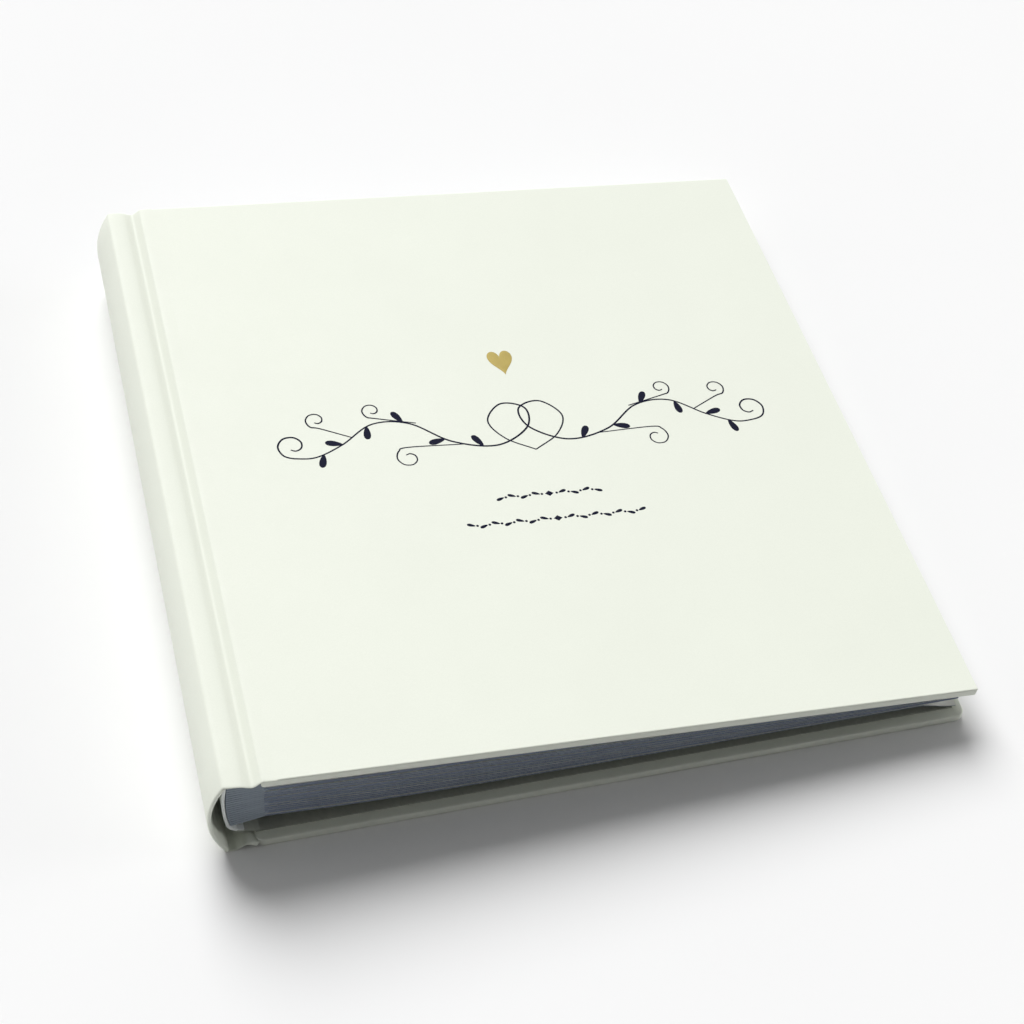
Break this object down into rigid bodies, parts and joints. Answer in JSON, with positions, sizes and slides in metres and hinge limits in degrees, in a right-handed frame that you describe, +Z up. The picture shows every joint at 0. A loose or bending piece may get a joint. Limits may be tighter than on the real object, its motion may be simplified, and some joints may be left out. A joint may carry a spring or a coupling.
{
  "type": "wedding guest book",
  "caption": "Square hardback guest book: white paper-covered case, rounded hollow spine, grooved joints and card leaves on guards.",
  "frame": {"origin": "middle of the rectangle the closed book covers, on the surface that its back cover lies on", "axes": "+X from the spine to the fore-edge, +Y from tail to head, +Z up through the front cover"},
  "size_m": [0.2126, 0.22, 0.0293],
  "materials": {
    "cover_paper": "satin",
    "greyboard": "matte",
    "endpaper": "matte",
    "leaf_card": "matte",
    "guard_card": "matte",
    "lining_paper": "matte"
  },
  "bodies": {
    "back_cover": {"back_cover_wrap": "cover_paper", "back_board": "greyboard", "back_pastedown": "endpaper", "back_joint": "cover_paper"},
    "book_block": {"spine_wrap": "cover_paper", "spine_stiffener": "greyboard", "spine_lining": "lining_paper", "front_joint": "cover_paper", "guard_01": "guard_card", "guard_02": "guard_card", "guard_03": "guard_card", "guard_04": "guard_card", "guard_05": "guard_card", "guard_06": "guard_card", "guard_07": "guard_card", "guard_08": "guard_card", "guard_09": "guard_card", "guard_10": "guard_card", "guard_11": "guard_card", "guard_12": "guard_card", "guard_13": "guard_card", "guard_14": "guard_card", "guard_15": "guard_card", "guard_16": "guard_card", "guard_17": "guard_card", "guard_18": "guard_card", "guard_19": "guard_card", "guard_20": "guard_card"},
    "front_cover": {"front_cover_wrap": "cover_paper", "front_board": "greyboard", "front_pastedown": "endpaper"},
    "front_flyleaf": {"front_flyleaf": "endpaper"},
    "leaf_01": {"leaf_01": "leaf_card"},
    "leaf_02": {"leaf_02": "leaf_card"},
    "leaf_03": {"leaf_03": "leaf_card"},
    "leaf_04": {"leaf_04": "leaf_card"},
    "leaf_05": {"leaf_05": "leaf_card"},
    "leaf_06": {"leaf_06": "leaf_card"},
    "leaf_07": {"leaf_07": "leaf_card"},
    "leaf_08": {"leaf_08": "leaf_card"},
    "leaf_09": {"leaf_09": "leaf_card"},
    "leaf_10": {"leaf_10": "leaf_card"},
    "leaf_11": {"leaf_11": "leaf_card"},
    "leaf_12": {"leaf_12": "leaf_card"},
    "leaf_13": {"leaf_13": "leaf_card"},
    "leaf_14": {"leaf_14": "leaf_card"},
    "leaf_15": {"leaf_15": "leaf_card"},
    "leaf_16": {"leaf_16": "leaf_card"},
    "leaf_17": {"leaf_17": "leaf_card"},
    "leaf_18": {"leaf_18": "leaf_card"},
    "back_flyleaf": {"back_flyleaf": "endpaper"}
  },
  "joints": [
    {"name": "back_cover_hinge", "type": "hinge", "parent": "back_cover", "child": "book_block", "pos_m": [-0.10425, 0, 0.003], "axis": [0, -1, 0], "range_deg": [0, 90], "deforming": ["back_joint"]},
    {"name": "front_cover_hinge", "type": "hinge", "parent": "book_block", "child": "front_cover", "pos_m": [-0.09605, 0, 0.0296], "axis": [0, -1, 0], "range_deg": [0, 178], "deforming": ["front_joint"]},
    {"name": "front_flyleaf_turn", "type": "hinge", "parent": "book_block", "child": "front_flyleaf", "pos_m": [-0.09015, 0, 0.02571], "axis": [0, -1, 0], "range_deg": [0, 82]},
    {"name": "leaf_01_turn", "type": "hinge", "parent": "book_block", "child": "leaf_01", "pos_m": [-0.09015, 0, 0.02486], "axis": [0, -1, 0], "range_deg": [0, 75.6]},
    {"name": "leaf_02_turn", "type": "hinge", "parent": "book_block", "child": "leaf_02", "pos_m": [-0.09015, 0, 0.02401], "axis": [0, -1, 0], "range_deg": [0, 69.3]},
    {"name": "leaf_03_turn", "type": "hinge", "parent": "book_block", "child": "leaf_03", "pos_m": [-0.09015, 0, 0.02316], "axis": [0, -1, 0], "range_deg": [0, 63.3]},
    {"name": "leaf_04_turn", "type": "hinge", "parent": "book_block", "child": "leaf_04", "pos_m": [-0.09015, 0, 0.0223], "axis": [0, -1, 0], "range_deg": [0, 57.4]},
    {"name": "leaf_05_turn", "type": "hinge", "parent": "book_block", "child": "leaf_05", "pos_m": [-0.09015, 0, 0.02145], "axis": [0, -1, 0], "range_deg": [0, 51.8]},
    {"name": "leaf_06_turn", "type": "hinge", "parent": "book_block", "child": "leaf_06", "pos_m": [-0.09015, 0, 0.0206], "axis": [0, -1, 0], "range_deg": [0, 46.4]},
    {"name": "leaf_07_turn", "type": "hinge", "parent": "book_block", "child": "leaf_07", "pos_m": [-0.09015, 0, 0.01975], "axis": [0, -1, 0], "range_deg": [0, 41.3]},
    {"name": "leaf_08_turn", "type": "hinge", "parent": "book_block", "child": "leaf_08", "pos_m": [-0.09015, 0, 0.0189], "axis": [0, -1, 0], "range_deg": [0, 36.3]},
    {"name": "leaf_09_turn", "type": "hinge", "parent": "book_block", "child": "leaf_09", "pos_m": [-0.09015, 0, 0.01805], "axis": [0, -1, 0], "range_deg": [0, 31.6]},
    {"name": "leaf_10_turn", "type": "hinge", "parent": "book_block", "child": "leaf_10", "pos_m": [-0.09015, 0, 0.0172], "axis": [0, -1, 0], "range_deg": [0, 27.2]},
    {"name": "leaf_11_turn", "type": "hinge", "parent": "book_block", "child": "leaf_11", "pos_m": [-0.09015, 0, 0.01635], "axis": [0, -1, 0], "range_deg": [0, 23]},
    {"name": "leaf_12_turn", "type": "hinge", "parent": "book_block", "child": "leaf_12", "pos_m": [-0.09015, 0, 0.0155], "axis": [0, -1, 0], "range_deg": [0, 19.1]},
    {"name": "leaf_13_turn", "type": "hinge", "parent": "book_block", "child": "leaf_13", "pos_m": [-0.09015, 0, 0.01464], "axis": [0, -1, 0], "range_deg": [0, 15.4]},
    {"name": "leaf_14_turn", "type": "hinge", "parent": "book_block", "child": "leaf_14", "pos_m": [-0.09015, 0, 0.01379], "axis": [0, -1, 0], "range_deg": [0, 12.1]},
    {"name": "leaf_15_turn", "type": "hinge", "parent": "book_block", "child": "leaf_15", "pos_m": [-0.09015, 0, 0.01294], "axis": [0, -1, 0], "range_deg": [0, 9.1]},
    {"name": "leaf_16_turn", "type": "hinge", "parent": "book_block", "child": "leaf_16", "pos_m": [-0.09015, 0, 0.01209], "axis": [0, -1, 0], "range_deg": [0, 6.4]},
    {"name": "leaf_17_turn", "type": "hinge", "parent": "book_block", "child": "leaf_17", "pos_m": [-0.09015, 0, 0.01124], "axis": [0, -1, 0], "range_deg": [0, 4.1]},
    {"name": "leaf_18_turn", "type": "hinge", "parent": "book_block", "child": "leaf_18", "pos_m": [-0.09015, 0, 0.01039], "axis": [0, -1, 0], "range_deg": [0, 2.2]},
    {"name": "back_flyleaf_turn", "type": "hinge", "parent": "book_block", "child": "back_flyleaf", "pos_m": [-0.09015, 0, 0.00954], "axis": [0, -1, 0], "range_deg": [0, 0.8]}
  ],
  "couplings": [
    {"joint": "front_flyleaf_turn", "follows": "front_cover_hinge", "ratio": 0.46},
    {"joint": "leaf_01_turn", "follows": "front_cover_hinge", "ratio": 0.4238},
    {"joint": "leaf_02_turn", "follows": "front_cover_hinge", "ratio": 0.3886},
    {"joint": "leaf_03_turn", "follows": "front_cover_hinge", "ratio": 0.3547},
    {"joint": "leaf_04_turn", "follows": "front_cover_hinge", "ratio": 0.3219},
    {"joint": "leaf_05_turn", "follows": "front_cover_hinge", "ratio": 0.2903},
    {"joint": "leaf_06_turn", "follows": "front_cover_hinge", "ratio": 0.26},
    {"joint": "leaf_07_turn", "follows": "front_cover_hinge", "ratio": 0.2309},
    {"joint": "leaf_08_turn", "follows": "front_cover_hinge", "ratio": 0.2031},
    {"joint": "leaf_09_turn", "follows": "front_cover_hinge", "ratio": 0.1767},
    {"joint": "leaf_10_turn", "follows": "front_cover_hinge", "ratio": 0.1517},
    {"joint": "leaf_11_turn", "follows": "front_cover_hinge", "ratio": 0.1282},
    {"joint": "leaf_12_turn", "follows": "front_cover_hinge", "ratio": 0.1062},
    {"joint": "leaf_13_turn", "follows": "front_cover_hinge", "ratio": 0.0858},
    {"joint": "leaf_14_turn", "follows": "front_cover_hinge", "ratio": 0.067},
    {"joint": "leaf_15_turn", "follows": "front_cover_hinge", "ratio": 0.0501},
    {"joint": "leaf_16_turn", "follows": "front_cover_hinge", "ratio": 0.035},
    {"joint": "leaf_17_turn", "follows": "front_cover_hinge", "ratio": 0.0221},
    {"joint": "leaf_18_turn", "follows": "front_cover_hinge", "ratio": 0.0116},
    {"joint": "back_flyleaf_turn", "follows": "front_cover_hinge", "ratio": 0.0038}
  ]
}
